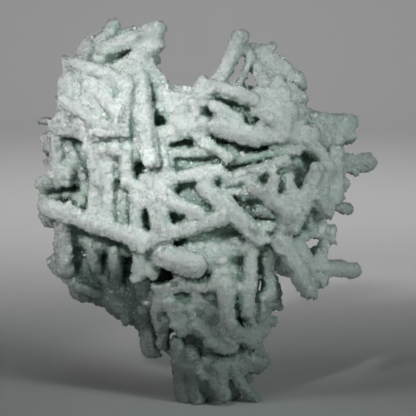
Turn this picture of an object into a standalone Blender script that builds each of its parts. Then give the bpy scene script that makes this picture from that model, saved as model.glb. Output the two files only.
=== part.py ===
"""A cluster of prehnite that grew over laumontite prisms: a jackstraw heap of blunt
finger-shaped crystal casts, grown together into one stone that stands on a small flat cut.

Metres, +Z up. The front faces -Y. The origin is the bottom centre of the stone's box."""

import math
import random

import bmesh
import bpy
from mathutils import Matrix, Vector, noise

MM = 0.001

# Driving dimensions, in millimetres and degrees
HEIGHT = 125.0
CRUST = 9.0            # how far the finger casts stand out from the solid lumps under them
VIEW_PITCH = 6.0       # places are set down as they look from the front, from this far above
FINGER_SIDES = 5
TIP_ROUND = 0.30       # share of a finger's width over which its blunt end is rounded
TIP_SHARE = 0.35       # most of a short finger's length that its rounded end takes
TIP_WIDTH = 0.62       # width of the end face against the finger's own
TAPER = 0.08           # most that a finger narrows or widens from end to end
UNEVEN = 0.05          # most that an edge stands in or out from the finger's even outline
FACET_SWELL = 1.08     # lets a faceted finger stand as wide as a round one
LUMP_SWELL = 0.10      # how uneven the lumps are, and how often over their half size
LUMP_WAVES = 1.7
MOST_TRIANGLES = 9700

# The fingers laid crosswise over the back, and the deeper ones that fill in under others
BACK_SPACING = 11.0
UNDER_SPACING = 13.0
CROSS_JITTER = 2.5
CROSS_COLUMNS = 6      # to each side of the middle
CROSS_WIDTHS = (5.0, 6.8)
CROSS_LENGTHS = (13.0, 23.0)
CROSS_SPREAD = 3.0     # how far past a lump's edge they may reach
OUTER_DEPTHS = (0.0, 5.0)
UNDER_DEPTHS = (4.5, 7.0)
FRONT_FILL_TOP = 62.5  # the front is filled in only below this height,
FRONT_FILL_LEFT = -20.0     # and only to the right of here
CROSS_SEED = 9
TURN_SEED = 11         # how each finger is turned about its own axis, and its small unevenness

# The block under the base level that cuts the stone off flat
GROUND_SIDE = 200.0
GROUND_DEPTH = 40.0

# The solid lumps in the middle: across, up and back from the base, then their half sizes
LUMPS = {
    "middle": (-5, 68, 1, 33, 27, 15),
    "upper_left": (-31, 91, 0, 14, 18, 11),
    "upper_right": (13, 92, 2, 17, 12, 16),
    "right": (26, 70, 2, 13, 20, 18),
    "lower": (3, 40, 2, 15, 28, 16),
    "lower_left": (-27, 43, 11, 17, 13, 8),
    "foot": (3, 9, 3, 12, 13, 13),
}

# Finger casts of the front, each as it looks from the front. One end's place across and up,
# how far its axis lies behind the front of the heap there, the same for the other end, and width.
CROWN = [
    (-43.6, 97, 7, -46.9, 112.6, 10, 4.0),
    (-40, 109, 9, -38, 116.6, 9, 8.2),
    (-34.6, 112, 6, -31.7, 122, 5, 6.2),
    (-34.0, 114.4, 3, -16.3, 121.4, -7, 6.2),
    (-30, 119.5, 5, -24, 122.2, 4, 3.2),
    (-27, 109.6, 3, -15.8, 116.6, -6, 5.0),
    (-31, 111.4, 9, -18, 116.8, 2, 7.0),
    (-22, 110, 8, -16.9, 112.2, 8, 4.4),
    (-42, 109.4, 1, -27.5, 103.2, 0, 7.2),
    (-24.3, 105, 0, -26.8, 91.8, -2, 5.8),
    (-21.2, 105, 0, -18, 79.2, -4, 6.4),
    (-20.5, 110.5, 1, -14.2, 101, 1, 7.0),
    (-26, 109, 1, -18, 107, 1, 6.0),
]
LEFT_SHOULDER = [
    (-45.8, 103.5, 2, -45.7, 93, 2, 6.0),
    (-43.5, 104, 1, -39.5, 92, 1, 6.6),
    (-37.5, 102, 0, -35.8, 88.5, 0, 6.8),
    (-32.2, 102, 0, -31, 89.5, 1, 6.2),
    (-23.6, 97, 1, -22.2, 81, 1.5, 6.2),
    (-48, 90, 2, -39, 88.2, 2, 6.4),
    (-36.2, 86.9, 0, -27.4, 86.8, -1, 3.7),
    (-47, 91, 4, -54.8, 92, 4, 2.6),
    (-48, 88.6, 5, -53.4, 86.3, 5, 3.4),
    (-49, 85, 5, -52.6, 82.6, 5, 3.6),
    (-49, 79.5, 5, -53, 78.7, 6, 3.2),
    (-48.6, 92, 2, -48.8, 77.5, 2, 4.8),
    (-29.6, 82, 8, -29.4, 82.2, -1, 5.2),
]
LEFT_MIDDLE = [
    (-45.6, 74.6, 1, -53.4, 71.6, 1, 5.8),
    (-49.8, 76.5, 2, -45.8, 72.6, 1, 5.6),
    (-49, 71.6, 7, -41, 65.4, 6, 5.2),
    (-37, 82.8, 1, -34.9, 72.6, 0, 6.0),
    (-36, 75, 3, -36.2, 62, 3, 5.2),
    (-31, 84, 3, -31.9, 60, 3, 6.0),
    (-25.9, 83, 0, -25.6, 73.2, 0, 5.4),
    (-27, 76, 4, -22.4, 70.5, 4, 5.0),
    (-22.6, 70, 1, -21.8, 42.6, -1, 5.2),
    (-45, 84, 9, -39, 70, 10, 6.0),
    (-52, 63.8, -7, -19.6, 52.4, -2, 6.4),
    (-53.2, 65.4, 3, -52.2, 60.4, 3, 6.0),
    (-53.4, 60.8, 3, -47, 57.2, 3, 4.8),
    (-18, 72, 1, -14.2, 57.4, 0, 7.0),
    (-27, 69, 7, -26.5, 56, 7, 5.4),
]
COLLAR = [
    (3.8, 103, 5, 10.8, 118.5, -3, 6.0),
    (9.9, 101, 5, 14.6, 112.6, 1, 3.0),
    (15.4, 115, 7, 25.4, 109, 6, 6.4),
    (18, 113.4, 6, 29.6, 104.9, 5, 6.4),
    (20, 112, 7, 21.8, 116.6, 7, 3.0),
    (27, 107, 7, 31, 107.2, 7, 2.6),
    (26.6, 105, 6, 31.6, 103.4, 6, 2.9),
    (16.2, 112, 8, 19, 103, 8, 4.8),
    (19, 112.4, 9, 21.6, 101, 8, 6.4),
    (22.6, 103.4, 4, 27.6, 102.3, 4, 4.6),
    (28.5, 98.7, 4, 32, 98.5, 5, 2.9),
    (17, 101, 3, 25.2, 100.9, 3, 4.2),
    (-0.3, 103.6, 2, 15, 98.2, 1, 5.6),
    (13, 98.8, 1, 29.6, 95.4, 2, 4.8),
    (-10, 100.8, 3, 0, 100.6, 3, 5.4),
    (-13, 98.8, 1, -2, 97.2, 1, 6.0),
    (22, 97.6, 4, 30, 99.4, 4, 5.0),
]
BELT = [
    (10, 92.6, 4, 3.2, 95.9, -1, 5.2),
    (-16, 86.6, 1, -5, 89.4, 0, 6.6),
    (-15.6, 96, 3, 0.6, 91, 2, 6.0),
    (-10.6, 92.4, 5, -10.2, 92.6, 0, 5.0),
    (-3.4, 95, 5, -3, 94.6, 0, 4.8),
    (-2, 85.6, 2, 7.2, 79.8, 1, 4.8),
    (5, 90, 0, 15, 86, 0, 7.4),
    (19.6, 91.6, 0, 30, 90.6, 1, 4.8),
    (13, 86.2, 1, 34, 86.8, 1, 6.6),
    (26.6, 95, 0, 25.8, 88, -1, 5.8),
    (30, 94, 3, 31.6, 93.6, 3, 4.6),
    (-15, 81, 4, 8, 82.2, 5, 4.6),
    (8, 78.4, 5, 29, 82, 5, 4.4),
    (16, 94.6, 3, 22, 95.4, 3, 4.4),
]
CENTRE = [
    (7.4, 72.6, 1, 24.8, 78.4, 0, 5.2),
    (-9.4, 73.2, 3, 3.6, 75.2, 1, 5.4),
    (-14.4, 80.5, 2, -13, 66, 2, 7.0),
    (-14, 66, 2, -3, 61.8, -1, 5.4),
    (0.3, 69.2, -1, 16.9, 54, -2, 7.0),
    (-22, 51.8, -1, 4.6, 60.2, -2, 5.8),
    (6.6, 69.8, 4, 15, 69.4, 3, 5.6),
    (15.8, 70.6, 0, 27, 61.6, 0, 6.0),
    (21.7, 72.4, -1, 20.4, 65, 0, 4.4),
    (26.1, 72.8, 2, 28.6, 63, 1, 4.6),
    (28, 66, 1, 24.4, 52, 0, 6.4),
    (14, 62.4, 8, 23, 61.8, 7, 5.0),
    (12.4, 57.6, 2, 20, 57.6, 2, 4.4),
]
RIGHT_ARMS = [
    (31.2, 95.6, 7, 36.8, 93.8, 7, 3.0),
    (33.6, 92.4, 6, 47.4, 91.8, 6, 5.8),
    (31, 88.2, 3, 46.8, 87.4, 5, 5.7),
    (36, 84.8, 6, 43.9, 84.7, 6, 3.8),
    (43, 77.9, 5, 53.4, 78.5, 6, 6.5),
    (41.9, 80.6, 2, 41.8, 67.5, 2, 6.6),
    (34.6, 84, 2, 39.6, 76.6, 2, 5.2),
    (43.4, 74, 6, 44.4, 69.8, 6, 4.6),
    (40, 64.8, 6, 47.3, 62.9, 6, 4.2),
    (37.4, 72, 3, 36, 66, 3, 6.0),
    (35, 67.2, 1, 39.2, 62.3, 1, 5.4),
    (35.6, 75.2, 0, 28.4, 57.4, 0, 5.8),
    (33.2, 66.4, 6, 33.4, 57.6, 8, 3.4),
]
RIGHT_LEGS = [
    (31, 54.4, 7, 37.4, 55.1, 6, 3.8),
    (36.2, 46.4, -2, 41, 55.7, 3, 4.6),
    (24.4, 52.4, -1, 32.9, 37.5, -16, 6.4),
    (29, 52, 4, 37.4, 39.6, -10, 5.4),
    (34, 44.2, -7, 48.2, 42.9, -5, 5.6),
    (33.4, 62, 8, 37.8, 58, 8, 4.0),
]
HOLLOW = [
    (-47, 57.5, -6, -46.6, 43.6, 0, 6.6),
    (-49.5, 49, 6, -51.4, 45.2, 6, 2.6),
    (-48.9, 44.2, 5, -40.4, 35.8, 5, 6.4),
    (-42.5, 54.6, 7, -27, 51, 12, 8.0),
    (-42.2, 35.9, 4, -31, 32, 3, 5.4),
    (-33, 44, 13, -22.6, 31, 4, 8.0),
    (-21.5, 45.2, 1, -17.6, 42.4, 0, 5.2),
    (-30.6, 30.8, 2, -21.4, 26.2, 1, 6.4),
    (-21, 38.6, 2, -20.4, 31.4, 3, 6.2),
]
LOWER = [
    (-14.6, 48.4, 0, -4.2, 44.8, -2, 8.4),
    (-4, 50, 4, 17, 51, 4, 8.6),
    (-15.6, 37.3, 3, 7, 39, 2, 5.0),
    (3, 43, 6, 10, 37.6, 3, 4.6),
    (14.8, 51, 2, 14.3, 38.6, 1, 5.0),
    (20, 50.6, 4, 20.4, 37, 4, 5.4),
    (20.6, 38, 3, 20.7, 34.8, 1, 4.6),
    (13, 37, 1, 13.4, 30.2, 0, 6.0),
    (6.4, 36, 1, 7, 26.4, 0, 6.0),
    (18, 34, 3, 17.8, 28.8, 3, 4.6),
    (-15.6, 32.6, 3, -9.6, 31.2, 2, 5.2),
    (-10, 29, 3, -8, 24, 3, 5.6),
    (13.5, 33, 6, 23, 31.4, 6, 4.0),
    (21, 41, 6, 22.6, 33, 6, 4.6),
    (15, 31, 6, 21.6, 26.2, 6, 4.4),
    (13, 29, 5, 17, 23, 5, 4.8),
    (-19, 31, 3, -21.4, 25.8, 2, 6.0),
    (-16, 29, 2, -15.8, 24.6, 1, 4.8),
    (-19.6, 26, 3, -18.8, 16.8, 3, 6.4),
    (-13, 27, 6, -14.4, 18, 5, 4.8),
]
FOOT = [
    (9, 23.6, 1, 15, 19.4, 2, 5.6),
    (5.6, 23.4, 1, 8, 18.4, 1, 5.2),
    (2, 19.4, 1, 5, 17.8, 0, 4.6),
    (14, 21, 4, 17, 18, 4, 4.4),
    (0, 13, 3, 18.4, 13.5, 2, 4.8),
    (7.4, 10.4, 5, 15.7, 0.4, 4, 4.8),
    (-9.4, 19, 4, -7.6, 2, 6, 5.4),
    (-4.6, 16, 4, -3, 1, 4, 5.4),
    (3, 11, 2, 5.2, 3, 2, 6.0),
    (9, 11.2, 5, 16.6, 10.8, 6, 4.6),
    (-9, 12, 6, -3, 9.8, 2, 4.8),
    (-5.4, 25, 6, 1, 22.6, 5, 5.6),
]

# Finger casts that show only from the sides and from above: across, up, back, then the other end
SIDES = [
    (-34, 118, 2, -33, 113, 19, 6.0),
    (-27, 108, 3, -24, 113, 18, 6.0),
    (-44, 101, 4, -42, 103, 20, 6.2),
    (-48, 86, 2, -46, 83, 19, 6.0),
    (-46, 72, 6, -49, 66, 18, 5.8),
    (-48, 60, 4, -46, 62, 20, 5.6),
    (-41, 42, 11, -44, 41, 20, 6.0),
    (-16, 104, 2, -14, 99, 20, 5.8),
    (2, 100, 4, 4, 97, 21, 5.6),
    (20, 104, 6, 22, 101, 22, 5.8),
    (27, 97, 6, 28, 92, 22, 5.8),
    (38, 78, 4, 40, 82, 20, 5.6),
    (38, 66, 6, 36, 70, 22, 5.6),
    (18, 46, 3, 27.6, 43, 16, 5.8),
    (12, 36, 3, 18.6, 31, 18, 5.8),
    (-14, 26, 4, -16, 31, 19, 5.8),
    (14, 16, 4, 12, 12, 19, 5.6),
    (-6, 14, 4, -8, 9, 17, 5.6),
    (-2.5, 14, 4, -7.8, 1.6, 12, 5.6),
    (-20, 80, 12, -25, 85, 28, 6.0),
    (6, 60, 12, 10, 54, 29, 5.6),
    (24, 78, 14, 21, 86, 29, 6.0),
    (-12, 92, 10, -10, 97, 25, 5.4),
    (-33, 60, 12, -38, 54, 26, 6.0),
    (3, 30, 12, 7, 25, 27, 5.6),
    (-31, 98, 8, -35, 104, 22, 5.8),
]


def clear_scene():
    for item in list(bpy.data.objects):
        bpy.data.objects.remove(item, do_unlink=True)


def stone_material():
    stone = bpy.data.materials.new("prehnite")
    stone.use_nodes = True
    surface = stone.node_tree.nodes["Principled BSDF"]
    surface.inputs["Base Color"].default_value = (0.46, 0.56, 0.51, 1.0)
    surface.inputs["Roughness"].default_value = 0.35
    surface.inputs["Metallic"].default_value = 0.0
    return stone


def in_space(across, up, back):
    """A place as it looks from the front, turned into one in space, in metres."""
    pitch = math.radians(VIEW_PITCH)
    height = (up - back * math.sin(pitch)) / math.cos(pitch)
    return Vector((across, back, height)) * MM


def reach(lump, across, up, side):
    """How far back (side 1) or forward (side -1) the crust over one lump lies at a place."""
    x, z, y, half_x, half_z, half_y = lump
    off = ((across - x) / (half_x + CRUST)) ** 2 + ((up - z) / (half_z + CRUST)) ** 2
    return y + side * (half_y + CRUST) * math.sqrt(1 - off) if off < 1 else y


def front_of_heap(across, up):
    return min(min(reach(lump, across, up, -1) for lump in LUMPS.values()), 0)


def back_of_heap(across, up):
    return max(max(reach(lump, across, up, 1) for lump in LUMPS.values()), 0)


def over_lump(across, up, spread):
    """Whether a place lies over one of the lumps, let out all round by the spread."""
    for x, z, _, half_x, half_z, _ in LUMPS.values():
        if ((across - x) / (half_x + spread)) ** 2 + ((up - z) / (half_z + spread)) ** 2 < 1:
            return True
    return False


def add_lump(stone, lump):
    """One solid lump, an uneven ball."""
    x, z, y, half_x, half_z, half_y = lump
    ball = bmesh.ops.create_icosphere(stone, subdivisions=2, radius=1.0)
    for vert in ball["verts"]:
        swell = 1 + LUMP_SWELL * noise.noise(vert.co * LUMP_WAVES + Vector((x, y, z)))
        vert.co = vert.co * swell
        vert.co = Vector((vert.co.x * half_x, vert.co.y * half_y, vert.co.z * half_z)) * MM
        vert.co += in_space(x, z, y)


def add_finger(stone, start, end, width, turns):
    """One finger cast: a slightly tapered prism with blunt rounded ends."""
    axis = end - start
    length = axis.length
    aim = axis.to_track_quat("Z", "Y").to_matrix()
    spin = Matrix.Rotation(turns.uniform(0, math.pi), 3, "Z")
    half = width * MM / 2
    lean = TAPER * turns.uniform(-1, 1)
    rise = min(TIP_ROUND * width * MM, TIP_SHARE * length + half)
    stations = [
        (-half, TIP_WIDTH),
        (rise - half, 1.0),
        (length + half - rise, 1.0),
        (length + half, TIP_WIDTH),
    ]
    rings = []
    for along, share in stations:
        ring = []
        for side in range(FINGER_SIDES):
            angle = 2 * math.pi * side / FINGER_SIDES
            radius = half * FACET_SWELL * share * (1 + lean * (along / length - 0.5))
            radius *= 1 + UNEVEN * turns.uniform(-1, 1)
            spot = Vector((radius * math.cos(angle), radius * math.sin(angle), along))
            ring.append(stone.verts.new(start + aim @ (spin @ spot)))
        rings.append(ring)
    for low, high in zip(rings, rings[1:]):
        for side in range(FINGER_SIDES):
            after = (side + 1) % FINGER_SIDES
            stone.faces.new((low[side], low[after], high[after], high[side]))
    stone.faces.new(list(reversed(rings[0])))
    stone.faces.new(rings[-1])


def add_front(stone, turns):
    """The fingers that the front shows."""
    groups = [CROWN, LEFT_SHOULDER, LEFT_MIDDLE, COLLAR, BELT, CENTRE, RIGHT_ARMS]
    for group in groups + [RIGHT_LEGS, HOLLOW, LOWER, FOOT]:
        for x1, up1, behind1, x2, up2, behind2, width in group:
            start = in_space(x1, up1, front_of_heap(x1, up1) + width / 2 + behind1)
            end = in_space(x2, up2, front_of_heap(x2, up2) + width / 2 + behind2)
            add_finger(stone, start, end, width, turns)


def add_sides(stone, turns):
    for x1, up1, back1, x2, up2, back2, width in SIDES:
        add_finger(stone, in_space(x1, up1, back1), in_space(x2, up2, back2), width, turns)


def add_crosswise(stone, turns, side, spacing, depths, highest, leftmost=-math.inf):
    """Fingers laid crosswise over the lumps of one side, seeded row by row from the base."""
    surface = front_of_heap if side < 0 else back_of_heap
    for row in range(int(highest / spacing)):
        for column in range(-CROSS_COLUMNS, CROSS_COLUMNS):
            across = (column + 0.5 * (row % 2)) * spacing
            across += turns.uniform(-CROSS_JITTER, CROSS_JITTER)
            up = (row + 0.5) * spacing + turns.uniform(-CROSS_JITTER, CROSS_JITTER)
            width = turns.uniform(*CROSS_WIDTHS)
            length = turns.uniform(*CROSS_LENGTHS)
            heading = turns.uniform(0, math.pi)
            depth = [turns.uniform(*depths), turns.uniform(*depths)]
            step = Vector((math.cos(heading), math.sin(heading))) * length / 2
            places = [(across + k * step.x, up + k * step.y) for k in (-1, 0, 1)]
            if across < leftmost or not all(over_lump(x, z, CROSS_SPREAD) for x, z in places):
                continue
            (x1, up1), _, (x2, up2) = places
            start = in_space(x1, up1, surface(x1, up1) - side * (width / 2 + depth[0]))
            end = in_space(x2, up2, surface(x2, up2) - side * (width / 2 + depth[1]))
            add_finger(stone, start, end, width, turns)


def object_of(name, stone):
    mesh = bpy.data.meshes.new(name)
    stone.normal_update()
    stone.to_mesh(mesh)
    stone.free()
    made = bpy.data.objects.new(name, mesh)
    bpy.context.scene.collection.objects.link(made)
    return made


def evaluated_mesh(item):
    bpy.context.view_layer.update()
    graph = bpy.context.evaluated_depsgraph_get()
    return bpy.data.meshes.new_from_object(item.evaluated_get(graph))


def ground_block():
    """The block that cuts the underside off flat at the base level."""
    block = bmesh.new()
    bmesh.ops.create_cube(block, size=1.0)
    sides = Vector((GROUND_SIDE, GROUND_SIDE, GROUND_DEPTH)) * MM
    bmesh.ops.scale(block, vec=sides, verts=block.verts)
    bmesh.ops.translate(block, vec=Vector((0, 0, -sides.z / 2)), verts=block.verts)
    ground = object_of("ground", block)
    ground.hide_render = True
    ground.display_type = "WIRE"
    return ground


def keep_outside(mesh):
    """Keeps the outer skin and drops the walls of the closed pores inside the heap."""
    skin = bmesh.new()
    skin.from_mesh(mesh)
    left = set(skin.faces)
    shells = []
    while left:
        shell = [left.pop()]
        for face in shell:
            for edge in face.edges:
                for near in edge.link_faces:
                    if near in left:
                        left.remove(near)
                        shell.append(near)
        shells.append(shell)
    outer = max(shells, key=lambda shell: sum(face.calc_area() for face in shell))
    for shell in shells:
        if shell is not outer:
            bmesh.ops.delete(skin, geom=shell, context="FACES")
    loose = [vert for vert in skin.verts if not vert.link_faces]
    bmesh.ops.delete(skin, geom=loose, context="VERTS")
    bmesh.ops.triangulate(skin, faces=skin.faces)
    skin.to_mesh(mesh)
    skin.free()


def main():
    clear_scene()
    turns = random.Random(TURN_SEED)
    places = random.Random(CROSS_SEED)
    fingers = bmesh.new()
    add_front(fingers, turns)
    add_sides(fingers, turns)
    add_crosswise(fingers, places, 1, BACK_SPACING, OUTER_DEPTHS, HEIGHT)
    add_crosswise(fingers, places, 1, UNDER_SPACING, UNDER_DEPTHS, HEIGHT)
    under_front = (UNDER_SPACING, UNDER_DEPTHS, FRONT_FILL_TOP, FRONT_FILL_LEFT)
    add_crosswise(fingers, places, -1, *under_front)
    heap = object_of("heap", fingers)
    lumps = bmesh.new()
    for lump in LUMPS.values():
        add_lump(lumps, lump)
    middle = object_of("middle", lumps)
    grown = heap.modifiers.new("grown together", "BOOLEAN")
    grown.operation = "UNION"
    grown.object = middle
    grown.use_self = True
    mesh = evaluated_mesh(heap)
    keep_outside(mesh)

    cluster = bpy.data.objects.new("prehnite_cluster", mesh)
    bpy.context.scene.collection.objects.link(cluster)
    mesh.materials.clear()
    mesh.materials.append(stone_material())
    fewer = cluster.modifiers.new("fewer facets", "DECIMATE")
    fewer.ratio = min(1.0, MOST_TRIANGLES / len(mesh.polygons))
    cut = cluster.modifiers.new("flat cut", "BOOLEAN")
    cut.operation = "DIFFERENCE"
    cut.object = ground_block()
    corners = [vert.co for vert in evaluated_mesh(cluster).vertices]
    low = Vector(min(corner[side] for corner in corners) for side in range(3))
    high = Vector(max(corner[side] for corner in corners) for side in range(3))
    mesh.transform(Matrix.Translation((-(low.x + high.x) / 2, -(low.y + high.y) / 2, 0)))
    for helper in (heap, middle):
        bpy.data.objects.remove(helper, do_unlink=True)


main()
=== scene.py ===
import math

import bmesh
import bpy
import numpy as np
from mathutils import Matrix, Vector
from mathutils.bvhtree import BVHTree


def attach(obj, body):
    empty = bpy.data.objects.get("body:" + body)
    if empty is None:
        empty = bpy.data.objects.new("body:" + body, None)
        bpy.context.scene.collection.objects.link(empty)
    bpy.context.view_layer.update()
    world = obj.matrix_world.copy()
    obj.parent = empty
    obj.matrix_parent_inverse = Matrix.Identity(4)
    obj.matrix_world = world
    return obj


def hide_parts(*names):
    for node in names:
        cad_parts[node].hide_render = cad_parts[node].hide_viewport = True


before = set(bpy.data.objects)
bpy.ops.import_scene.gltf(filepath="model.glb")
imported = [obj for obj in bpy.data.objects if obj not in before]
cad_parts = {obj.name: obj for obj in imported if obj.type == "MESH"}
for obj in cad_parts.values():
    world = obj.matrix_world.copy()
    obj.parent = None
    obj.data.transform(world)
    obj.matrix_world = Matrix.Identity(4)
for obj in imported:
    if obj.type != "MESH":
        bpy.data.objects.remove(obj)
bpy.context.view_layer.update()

# The stone: finger casts of pale green prehnite, grown through and over each other into one heap.
# It is one closed skin over the whole heap. The mineral coated every edge and grew shut the narrow
# slits between fingers, so the skin is rounded there, and it swells and thins along each finger.
MM = 0.001
KNOBS = 460
KNOB_SIZES = (0.8 * MM, 1.9 * MM)
KNOB_LENGTHS = (0.9, 2.6)     # against its width
KNOB_VARIES = (0.8, 1.25)     # each half size against the knob's own
KNOB_SUNK = 0.35         # share of a knob's size that its middle lies under the fingers' faces
BLUNTNESS = 0.8          # below 1, a ball's ends are blunter than round
# Balls that close the gaps at the left: place and half width, in millimetres
PLUGS = [(-43.0, 6, 71.2, 3.6), (-42.0, 8, 47.0, 4.8), (-51.0, 4, 67.5, 3.0)]
# Fingers half sunk in the left side, in millimetres as the camera sees them, which looks down by
# the pitch: one end across and up, the other end across and up, half width
PITCH = math.radians(6)
SIGHT_START = 0.2        # in front of the stone
LEFT_FINGERS = [
    (-43, 110, -29.5, 105, 2.5),
    (-40.5, 105.5, -28.5, 93.5, 2.8),
    (-46.5, 98, -33, 89.5, 2.7),
    (-25, 104, -29, 88.5, 2.4),
    (-35.5, 101.5, -44.5, 94, 2.1),
    (-36, 87, -27, 87, 1.7),
    (-15, 91, -7, 86.5, 2.2),
    (-38, 50, -36.5, 41, 2.5),
    (-30.5, 49, -29.5, 38, 2.6),
    (-36, 40, -25.5, 34, 2.2),
    (-43, 37, -36, 34.5, 1.9),
]
TIP_RAISED = 0.45        # share of its half width that a finger's line lies before the surface
SKIN_GRID = 0.55 * MM
ROUNDING = 3
SLIT = 0.4 * MM          # slits narrower than this are grown shut
SHRINK = 0.28 * MM       # leaves room for the crust of crystals
SWELLS = ((2.0 * MM, 1.0 * MM), (6.5 * MM, 0.9 * MM))     # how wide and how high
SKIN_TRIANGLES = 192000
CUT_BAND = 0.5 * MM      # the skin this close to the flat cut is laid on it


def as_mesh(item, name):
    """The item as its modifiers leave it, in a mesh of its own."""
    bpy.context.view_layer.update()
    graph = bpy.context.evaluated_depsgraph_get()
    made = bpy.data.meshes.new_from_object(item.evaluated_get(graph))
    made.name = name
    return made


def numbers(items, name, width=1, kind=np.float32):
    found = np.empty(len(items) * width, kind)
    items.foreach_get(name, found)
    return found.reshape(-1, width) if width > 1 else found


def axes_along(aims, ups):
    """For each aim, three square axes: the aim, a side and one near the given up."""
    aims = aims / np.linalg.norm(aims, axis=1)[:, None]
    sides = np.cross(ups, aims)
    sides /= np.linalg.norm(sides, axis=1)[:, None]
    return np.stack([aims, sides, np.cross(aims, sides)], axis=1)


def knobs_on(mesh, draws):
    """Places, axes and half sizes of low uneven knobs and ridges that lie sunk in the fingers."""
    mesh.calc_loop_triangles()
    corners = numbers(mesh.vertices, "co", 3)[numbers(mesh.loop_triangles, "vertices", 3, np.int32)]
    areas = numbers(mesh.loop_triangles, "area").astype(np.float64)
    chosen = corners[draws.choice(len(corners), KNOBS, p=areas / areas.sum())]
    outward = np.cross(chosen[:, 1] - chosen[:, 0], chosen[:, 2] - chosen[:, 0])
    outward /= np.linalg.norm(outward, axis=1)[:, None]
    centres = np.einsum("nk,nkx->nx", draws.dirichlet((1, 1, 1), KNOBS), chosen)
    sizes = draws.uniform(*KNOB_SIZES, KNOBS)
    centres -= outward * (KNOB_SUNK * sizes)[:, None]
    axes = axes_along(np.cross(outward, draws.normal(size=(KNOBS, 3))), outward)
    halves = sizes[:, None] * draws.uniform(*KNOB_VARIES, (KNOBS, 3))
    halves[:, 0] *= draws.uniform(*KNOB_LENGTHS, KNOBS)
    return centres, axes, halves


def tips_on(tree):
    """Places, axes and half sizes of the left fingers, laid on the front as it is seen."""
    rise = Vector((0, math.sin(PITCH), math.cos(PITCH)))
    sight = Vector((0, math.cos(PITCH), -math.sin(PITCH)))
    ends = []
    for x1, up1, x2, up2, half in LEFT_FINGERS:
        for x, up in ((x1, up1), (x2, up2)):
            eye = (Vector((x, 0, 0)) + rise * up) * MM - sight * SIGHT_START
            met = tree.ray_cast(eye, sight)[0]
            ends.append(met - sight * (TIP_RAISED * half * MM))
    ends = np.array(ends).reshape(-1, 2, 3)
    halves = np.array([[row[4] * MM] * 3 for row in LEFT_FINGERS])
    along = ends[:, 1] - ends[:, 0]
    halves[:, 0] += np.linalg.norm(along, axis=1) / 2
    return ends.mean(axis=1), axes_along(along, np.array([sight] * len(along))), halves


def joined_balls(centres, axes, halves):
    """Balls stretched along their axes, as one set of corners and triangles."""
    ball = bmesh.new()
    bmesh.ops.create_icosphere(ball, subdivisions=3, radius=1.0)
    round_corners = np.array([vert.co for vert in ball.verts])
    round_faces = np.array([[vert.index for vert in face.verts] for face in ball.faces])
    ball.free()
    blunt = np.sign(round_corners) * np.abs(round_corners) ** BLUNTNESS
    placed = np.einsum("nkc,ncx->nkx", blunt[None] * halves[:, None], axes) + centres[:, None]
    steps = np.arange(len(placed))[:, None, None] * len(round_corners)
    return placed.reshape(-1, 3), (round_faces[None] + steps).reshape(-1, 3)


node_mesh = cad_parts["prehnite_cluster"].data
node_corners = numbers(node_mesh.vertices, "co", 3)
node_faces = [list(face.vertices) for face in node_mesh.polygons]
node_tree = BVHTree.FromPolygons([Vector(corner) for corner in node_corners], node_faces)
plugs = np.array(PLUGS) * MM
upright = np.repeat(np.eye(3)[None], len(plugs), axis=0)
groups = [
    knobs_on(node_mesh, np.random.default_rng(3)),
    tips_on(node_tree),
    (plugs[:, :3], upright, np.repeat(plugs[:, 3:], 3, axis=1)),
]
knob_corners, knob_faces = joined_balls(*[np.concatenate(values) for values in zip(*groups)])
rough_mesh = bpy.data.meshes.new("prehnite_stone")
rough_corners = np.concatenate([node_corners, knob_corners])
rough_mesh.from_pydata(rough_corners, [], node_faces + (knob_faces + len(node_corners)).tolist())
stone = bpy.data.objects.new("prehnite_stone", rough_mesh)
bpy.context.scene.collection.objects.link(stone)
for step, growth in (("grown", SLIT / 2), ("drawn back", -SLIT / 2 - SHRINK)):
    skin = stone.modifiers.new("one skin, " + step, "REMESH")
    skin.mode = "VOXEL"
    skin.voxel_size = SKIN_GRID
    rounded = stone.modifiers.new("rounded edges, " + step, "SMOOTH")
    rounded.factor = 0.5
    rounded.iterations = ROUNDING
    moved = stone.modifiers.new(step, "DISPLACE")
    moved.strength = growth
    moved.mid_level = 0.0
for width, rise in SWELLS:
    swells = bpy.data.textures.new("swells", "CLOUDS")
    swells.noise_scale = width
    swells.noise_depth = 1
    swollen = stone.modifiers.new("swells", "DISPLACE")
    swollen.texture = swells
    swollen.strength = rise
fewer = stone.modifiers.new("fewer faces", "DECIMATE")
skin_mesh = as_mesh(stone, "prehnite_stone")
fewer.ratio = SKIN_TRIANGLES / sum(len(face.vertices) - 2 for face in skin_mesh.polygons)
skin_mesh = as_mesh(stone, "prehnite_stone")
stone.modifiers.clear()
stone.data = skin_mesh
places = numbers(skin_mesh.vertices, "co", 3)
low = places[:, 2] < CUT_BAND
places[low, 2] = 0.0
skin_mesh.vertices.foreach_set("co", places.ravel())
skin_mesh.shade_smooth()
skin_mesh.update()

# How open each place is. Sightlines in all directions show how far the heap lets one see: the
# near share tells the creases between fingers, and the far share how deep the place lies. Both
# drive the painted shade in the stone's colour, darker in creases and deep in the heap.
SIGHTLINES = 44
NEAR_SIGHT = 4.5 * MM
FAR_SIGHT = 26 * MM
FAR_POWER = 1.5          # above 1, a wall counts as more closed in than by its distance alone
LEAST_SLANT = 0.1        # sightlines flatter than this along the skin are left out
OFF_SKIN = 0.25 * MM     # where a sightline starts

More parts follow.
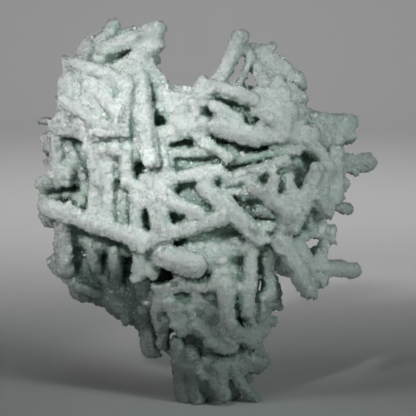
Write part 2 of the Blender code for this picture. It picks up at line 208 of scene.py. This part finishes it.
turn = math.pi * (3 - math.sqrt(5))
sightlines = []
for step in range(SIGHTLINES):
    rise = 1 - 2 * (step + 0.5) / SIGHTLINES
    flat = math.sqrt(1 - rise * rise)
    sightlines.append(Vector((flat * math.cos(turn * step), flat * math.sin(turn * step), rise)))
bpy.context.view_layer.update()
tree = BVHTree.FromObject(stone, bpy.context.evaluated_depsgraph_get())
facing = numbers(skin_mesh.vertex_normals, "vector", 3)
near_open = np.empty(len(places), np.float32)
far_open = np.empty(len(places), np.float32)
for index, (place, normal) in enumerate(zip(places, facing)):
    normal = Vector(normal)
    start = Vector(place) + normal * OFF_SKIN
    near = far = whole = 0.0
    for line in sightlines:
        weight = line.dot(normal)
        if weight < LEAST_SLANT:
            continue
        whole += weight
        seen = tree.ray_cast(start, line, FAR_SIGHT)[3]
        if seen is None:
            near += weight
            far += weight
        else:
            near += weight * min(seen / NEAR_SIGHT, 1)
            far += weight * (seen / FAR_SIGHT) ** FAR_POWER
    near_open[index] = near / max(whole, LEAST_SLANT)
    far_open[index] = far / max(whole, LEAST_SLANT)


def keep_values(mesh, **layers):
    """One number or one direction for each corner of the mesh, under the layer's name."""
    for name, values in layers.items():
        kind, field = ("FLOAT", "value") if values.ndim == 1 else ("FLOAT_VECTOR", "vector")
        layer = mesh.attributes.new(name, kind, "POINT")
        layer.data.foreach_set(field, np.ascontiguousarray(values, np.float32).ravel())


# The colour darkens to a deep green down the foot and in the hollow at the lower left: painted
# shade where less light reaches the low part of the stone, and painted shadow under the bars above
# the hollow.
FOOT_SHADE_HEIGHTS = (62 * MM, 10 * MM)        # heights where it starts and where it is full
MOST_FOOT_SHADE = 0.62
HOLLOW = np.array([-30, 4, 33]) * MM
HOLLOW_SHADE_DISTANCES = (27 * MM, 9 * MM)       # the same, by the distance from the hollow's middle
MOST_HOLLOW_SHADE = 0.9


def eased(values, none, full):
    share = np.clip((values - none) / (full - none), 0, 1)
    return share * share * (3 - 2 * share)


def clearness(spots):
    foot = eased(spots[:, 2], *FOOT_SHADE_HEIGHTS)
    hollow = eased(np.linalg.norm(spots - HOLLOW, axis=1), *HOLLOW_SHADE_DISTANCES)
    return np.maximum(MOST_FOOT_SHADE * foot, MOST_HOLLOW_SHADE * hollow)


keep_values(skin_mesh, near_open=near_open, openness=far_open)
keep_values(skin_mesh, clearness=clearness(places), facing=facing)

# The stone's colours, from closed in to open; the darker two are painted shade that the ramp lays
# in the creases and deep in the heap. The clear deep green is painted shade down the foot and in
# the hollow, and the own tone of a few glassy crystals. The frosted white is the crystals' own
# random frost and, on the few frosted all through, painted glints.
RECESS_SHADE = (0.05, 0.10, 0.072, 1.0)
SHADE = (0.19, 0.37, 0.278, 1.0)
MILKY = (0.44, 0.635, 0.55, 1.0)
WHITE = (0.76, 0.84, 0.812, 1.0)
FROST_AND_GLINT_WHITE = (0.90, 0.92, 0.92, 1.0)
SHADE_AND_CLEAR_GREEN = (0.055, 0.100, 0.088, 1.0)
SOFTNESS = 0.5           # how far a crystal's faces are lit as the skin below them is
CREASE_POWER = 0.5       # below 1, the creases darken less
PATCH_SCALE = 95
PATCH_STRENGTH = 0.14    # how far the pale and the green patches shift the colour


def math_node(nodes, links, operation, first, second):
    """A Math node fed by two sockets, or by a socket and a number."""
    made = nodes.new("ShaderNodeMath")
    made.operation = operation
    links.new(first, made.inputs[0])
    if isinstance(second, (int, float)):
        made.inputs[1].default_value = second
    else:
        links.new(second, made.inputs[1])
    return made.outputs["Value"]


def vector_node(nodes, links, operation, *fed):
    """A Vector Math node, each input fed by a socket or by three numbers."""
    made = nodes.new("ShaderNodeVectorMath")
    made.operation = operation
    for place, value in enumerate(fed):
        if isinstance(value, tuple):
            made.inputs[place].default_value = value
        else:
            links.new(value, made.inputs[place])
    return made.outputs["Vector"]


def stone_material(name, roughness):
    """Milky green prehnite, nearly white where open, with painted shade dark green where closed in.
    """
    made = bpy.data.materials.new(name)
    made.use_nodes = True
    nodes = made.node_tree.nodes
    links = made.node_tree.links
    surface = nodes["Principled BSDF"]
    where = nodes.new("ShaderNodeTexCoord")
    deep = nodes.new("ShaderNodeAttribute")
    deep.attribute_name = "openness"
    crease = nodes.new("ShaderNodeAttribute")
    crease.attribute_name = "near_open"
    patches = nodes.new("ShaderNodeTexNoise")
    patches.inputs["Scale"].default_value = PATCH_SCALE
    patches.inputs["Detail"].default_value = 4
    links.new(where.outputs["Object"], patches.inputs["Vector"])
    spread = nodes.new("ShaderNodeMapRange")
    spread.inputs["From Min"].default_value = 0.3
    spread.inputs["From Max"].default_value = 0.7
    spread.inputs["To Min"].default_value = -PATCH_STRENGTH
    spread.inputs["To Max"].default_value = PATCH_STRENGTH
    links.new(patches.outputs["Fac"], spread.inputs["Value"])
    # Painted shade: the ramp darkens the colour where sightlines are short, in creases and deep in
    # the heap.
    closed = math_node(nodes, links, "POWER", crease.outputs["Fac"], CREASE_POWER)
    both = math_node(nodes, links, "MULTIPLY", deep.outputs["Fac"], closed)
    total = math_node(nodes, links, "ADD", both, spread.outputs["Result"])
    ramp = nodes.new("ShaderNodeValToRGB")
    stops = ramp.color_ramp.elements
    stops[0].position = 0.0
    stops[0].color = RECESS_SHADE
    stops[1].position = 0.85
    stops[1].color = WHITE
    stops.new(0.14).color = SHADE
    stops.new(0.42).color = MILKY
    links.new(total, ramp.inputs["Fac"])
    colour = ramp.outputs["Color"]
    # Painted shade down the foot and in the hollow, mixed with the glassy crystals' own tone, then
    # the crystals' own frost, with painted glints on the ones frosted all through.
    for name_of_share, second in (("clearness", SHADE_AND_CLEAR_GREEN), ("frost", FROST_AND_GLINT_WHITE)):
        share = nodes.new("ShaderNodeAttribute")
        share.attribute_name = name_of_share
        mixed = nodes.new("ShaderNodeMix")
        mixed.data_type = "RGBA"
        mixed.inputs["B"].default_value = second
        links.new(share.outputs["Fac"], mixed.inputs["Factor"])
        links.new(colour, mixed.inputs["A"])
        colour = mixed.outputs["Result"]
    links.new(colour, surface.inputs["Base Color"])
    shape = nodes.new("ShaderNodeNewGeometry")
    below = nodes.new("ShaderNodeAttribute")
    below.attribute_name = "facing"
    share = vector_node(nodes, links, "MULTIPLY", below.outputs["Vector"], (SOFTNESS,) * 3)
    own = (1 - SOFTNESS,) * 3
    mixed = vector_node(nodes, links, "MULTIPLY_ADD", shape.outputs["Normal"], own, share)
    links.new(vector_node(nodes, links, "NORMALIZE", mixed), surface.inputs["Normal"])
    surface.inputs["Roughness"].default_value = roughness
    surface.inputs["IOR"].default_value = 1.62
    return made


skin_mesh.materials.clear()
skin_mesh.materials.append(stone_material("milky prehnite", 0.45))
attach(stone, "root")
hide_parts("prehnite_cluster")

# The crust: a sugary coat of prehnite crystals, most of them about a millimetre across, which
# stand on every finger. They are small closed wedges, set into the skin at many angles and joined
# into one piece for each quarter of the heap. Some are frosted paler at random, and a few are
# frosted nearly white as painted glints.
CRYSTAL_COUNT = 98000
CRYSTAL_SIZES = (0.6 * MM, 1.9 * MM)
SIZE_POWER = 2.5         # above 1, most crystals are near the small end
CRYSTAL_SIDES = (0.75, 1.3)
MOST_TILT = math.radians(42)
CRUST_PIECES = 4
CLOSED_OFF = 0.04        # no crystals where less than this of the view is open
MILD_FROST = 0.5         # the most frost on the other crystals
# The crystals frosted all through are also painted glints.
FULL_FROST_GLINTS = 0.08        # share of the crystals that are frosted all through
GLASSY = 0.12            # how clear the clearest single crystals are

# A crystal of size 1, its corners and its faces: a broad base in the skin and a ridge above it
WEDGE = np.array([(-0.55, -0.5, -0.30), (0.55, -0.5, -0.30), (0.55, 0.5, -0.30),
                  (-0.55, 0.5, -0.30), (-0.25, 0.0, 0.34), (0.25, 0.0, 0.34)])
WEDGE_FACES = [(0, 1, 5, 4), (2, 3, 4, 5), (1, 2, 5), (3, 0, 4), (3, 2, 1, 0)]
draws = np.random.default_rng(7)


def spots_on_skin(count):
    """Random even spots on the skin: place, the skin's direction, and how open they are."""
    skin_mesh.calc_loop_triangles()
    corners = numbers(skin_mesh.loop_triangles, "vertices", 3, np.int32)
    areas = numbers(skin_mesh.loop_triangles, "area")
    chosen = corners[draws.choice(len(corners), count, p=areas / areas.sum(dtype=np.float64))]
    shares = draws.dirichlet((1, 1, 1), count)
    layers = (places, facing, near_open, far_open)
    spots = [np.einsum("nk,nk...->n...", shares, values[chosen]) for values in layers]
    spots[1] /= np.linalg.norm(spots[1], axis=1)[:, None]
    keep = (spots[3] > CLOSED_OFF) & (spots[0][:, 2] > CUT_BAND)
    return [values[keep] for values in spots]


def turned(normals):
    """For each crystal, three axes: its own up leans off the skin's normal, its sides are spun."""
    count = len(normals)
    lean = np.tan(draws.uniform(0, MOST_TILT, count))[:, None]
    aside = np.cross(normals, draws.normal(size=(count, 3)))
    aside /= np.linalg.norm(aside, axis=1)[:, None]
    up = normals + aside * lean
    up /= np.linalg.norm(up, axis=1)[:, None]
    along = np.cross(up, draws.normal(size=(count, 3)))
    along /= np.linalg.norm(along, axis=1)[:, None]
    return np.stack([along, np.cross(up, along), up], axis=1)


def crust_mesh(name, chosen):
    """One piece of the crust, from the spots that its crystals stand on."""
    count = len(chosen)
    small, large = CRYSTAL_SIZES
    sizes = small + (large - small) * draws.uniform(size=count) ** SIZE_POWER
    sides = sizes[:, None] * draws.uniform(*CRYSTAL_SIDES, (count, 3))
    shaped = WEDGE[None] * sides[:, None]
    corners = np.einsum("nkc,ncx->nkx", shaped, turned(spots[1][chosen]))
    corners = (corners + spots[0][chosen][:, None]).reshape(-1, 3)
    corners[:, 2] = np.maximum(corners[:, 2], 0.0)
    firsts = np.arange(count)[:, None] * len(WEDGE)
    loops = np.concatenate([(firsts + np.array(face)).ravel() for face in WEDGE_FACES])
    lengths = np.repeat([len(face) for face in WEDGE_FACES], count)
    mesh = bpy.data.meshes.new(name)
    mesh.vertices.add(len(corners))
    mesh.vertices.foreach_set("co", corners.astype(np.float32).ravel())
    mesh.loops.add(len(loops))
    mesh.loops.foreach_set("vertex_index", loops.astype(np.int32))
    mesh.polygons.add(len(lengths))
    mesh.polygons.foreach_set("loop_start", (np.cumsum(lengths) - lengths).astype(np.int32))
    mesh.update(calc_edges=True)
    mesh.validate()
    clear = clearness(spots[0][chosen])
    frost = draws.uniform(0, MILD_FROST, count)
    frost[draws.uniform(size=count) < FULL_FROST_GLINTS] = 1.0
    frost *= (1 - clear) ** 2
    clear = np.maximum(clear, GLASSY * draws.uniform(size=count) ** 2)
    owners = np.repeat(np.arange(count), len(WEDGE))
    keep_values(mesh, near_open=spots[2][chosen][owners], openness=spots[3][chosen][owners])
    keep_values(mesh, clearness=clear[owners], frost=frost[owners], facing=spots[1][chosen][owners])
    return mesh


sugar = stone_material("sugary crust", 0.13)
spots = spots_on_skin(CRYSTAL_COUNT)
middle = spots[0][:, :2].mean(axis=0)
round_heap = np.argsort(np.arctan2(*(spots[0][:, :2] - middle).T))
for number, quarter in enumerate(np.array_split(round_heap, CRUST_PIECES)):
    name = f"sugar_crust_{number + 1}"
    mesh = crust_mesh(name, quarter)
    mesh.materials.append(sugar)
    crust = bpy.data.objects.new(name, mesh)
    bpy.context.scene.collection.objects.link(crust)
    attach(crust, "root")

# The floor is a plain pale sweep of paper, which lies flat under the stone and curves up well
# behind it.
FLOOR_SIDE = 3.0
FLOOR_BACK = 1.5
FLOOR_CURVE = 0.35
FLOOR_STEPS = 12
profile = [(-FLOOR_SIDE, 0.0), (FLOOR_BACK - FLOOR_CURVE, 0.0)]
for step in range(1, FLOOR_STEPS + 1):
    angle = math.pi / 2 * step / FLOOR_STEPS
    along = FLOOR_BACK - FLOOR_CURVE + FLOOR_CURVE * math.sin(angle)
    profile.append((along, FLOOR_CURVE * (1 - math.cos(angle))))
profile.append((FLOOR_BACK, FLOOR_SIDE))
sweep_mesh = bpy.data.meshes.new("floor")
sweep_points = [(x, y, z) for y, z in profile for x in (-FLOOR_SIDE, FLOOR_SIDE)]
sweep_faces = [(2 * k, 2 * k + 1, 2 * k + 3, 2 * k + 2) for k in range(len(profile) - 1)]
sweep_mesh.from_pydata(sweep_points, [], sweep_faces)
sweep_mesh.shade_smooth()
floor = bpy.data.objects.new("floor", sweep_mesh)
bpy.context.scene.collection.objects.link(floor)
paper = bpy.data.materials.new("pale paper")
paper.use_nodes = True
paper_surface = paper.node_tree.nodes["Principled BSDF"]
paper_surface.inputs["Base Color"].default_value = (0.88, 0.87, 0.87, 1.0)
paper_surface.inputs["Roughness"].default_value = 0.9
sweep_mesh.materials.append(paper)

# Soft studio light: a panel close above the front, a narrow one from the upper left that falls
# on the upper middle, a weak one from the right, one on the backdrop and a faint even surround.
world = bpy.data.worlds.new("studio")
world.use_nodes = True
world.node_tree.nodes["Background"].inputs["Color"].default_value = (0.80, 0.90, 0.86, 1.0)
world.node_tree.nodes["Background"].inputs["Strength"].default_value = 0.05
bpy.context.scene.world = world


def panel(name, place, aim, side, power, spread=180, tint=(1, 1, 1)):
    """A square soft panel turned to its aim, its light held in a cone of the spread's degrees."""
    light = bpy.data.lights.new(name, "AREA")
    light.shape = "SQUARE"
    light.size = side
    light.energy = power
    light.color = tint
    light.spread = math.radians(spread)
    lamp = bpy.data.objects.new(name, light)
    lamp.location = place
    lamp.rotation_euler = (Vector(aim) - Vector(place)).to_track_quat("-Z", "Y").to_euler()
    bpy.context.scene.collection.objects.link(lamp)


panel("top panel", (-0.05, -0.13, 0.27), (-0.03, -0.01, 0.10), 0.10, 0.072, 180, (0.94, 1.0, 0.97))
panel("key panel", (-0.24, -0.62, 0.36), (-0.019, 0, 0.080), 0.08, 0.0165, 8, (1.0, 0.965, 0.975))
panel("right panel", (0.35, -0.36, 0.20), (0.01, 0, 0.07), 0.15, 0.036, 40, (0.88, 1.0, 0.95))
panel("backdrop panel", (0, 0.3, 0.75), (0, 1.1, 0.0), 0.5, 2.0, 120)
bpy.context.scene.view_settings.view_transform = "Standard"

# The camera looks down on the front at the photo's angle, from a little under a metre away. A
# pixel of the picture shows a third of a millimetre.
PIXELS = 416
PIXEL = MM / 3
DISTANCE = 0.9
AIM_ACROSS = 0.3 * MM
AIM_UP = 63 * MM
lens = bpy.data.cameras.new("camera")
lens.sensor_width = 36
lens.lens = lens.sensor_width * DISTANCE / (PIXELS * PIXEL)
lens.clip_start = 0.01
lens.clip_end = 20
camera = bpy.data.objects.new("camera", lens)
back = Vector((0, -math.cos(PITCH), math.sin(PITCH)))
rise = Vector((0, math.sin(PITCH), math.cos(PITCH)))
camera.location = Vector((AIM_ACROSS, 0, 0)) + rise * AIM_UP + back * DISTANCE
camera.rotation_euler = (-back).to_track_quat("-Z", "Y").to_euler()
bpy.context.scene.collection.objects.link(camera)
bpy.context.scene.camera = camera
